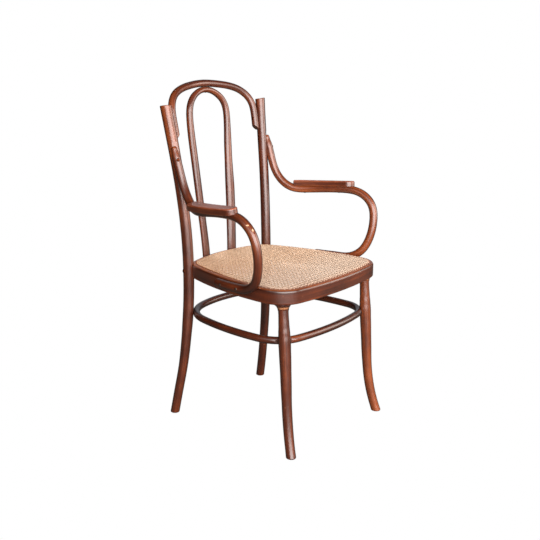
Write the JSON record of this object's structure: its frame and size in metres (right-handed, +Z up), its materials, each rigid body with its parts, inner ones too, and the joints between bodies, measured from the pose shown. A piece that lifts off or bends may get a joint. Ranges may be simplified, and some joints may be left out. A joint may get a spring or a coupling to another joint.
{
  "type": "armchair",
  "caption": "Bentwood armchair with a woven cane seat in a bent ring, a hooped back, open bow arms with flat armrest boards and a stretcher hoop between the legs.",
  "frame": {"origin": "on the floor, under the middle of the chair's box", "axes": "+Z up, -Y towards the front of the chair, +X towards the sitter's left; left and right are alike about X = 0 but for the armrest boards and the rods under them"},
  "size_m": [0.5755, 0.5342, 0.9704],
  "materials": {
    "wood": "dark reddish-brown stained beech, glossy varnish",
    "cane": "natural cane, hand woven six ways, satin",
    "steel": "slightly dulled steel"
  },
  "bodies": {
    "root": {"seat_ring": "wood", "rear_leg_right": "wood", "rear_leg_left": "wood", "front_leg_right": "wood", "front_leg_left": "wood", "stretcher_ring": "wood", "crest_rail": "wood", "back_hoop": "wood", "arm_right": "wood", "arm_left": "wood", "armrest_pad_right": "wood", "armrest_pad_left": "wood", "cane_panel": "cane", "rear_leg_bolts": "steel", "rear_leg_washers": "steel", "rear_leg_nuts": "steel", "stretcher_screws": "steel", "arm_post_screws": "steel", "arm_seat_screws": "steel", "crest_screws": "steel", "hoop_crest_screw": "steel", "hoop_seat_screws": "steel", "pad_screws": "steel"}
  },
  "joints": []
}
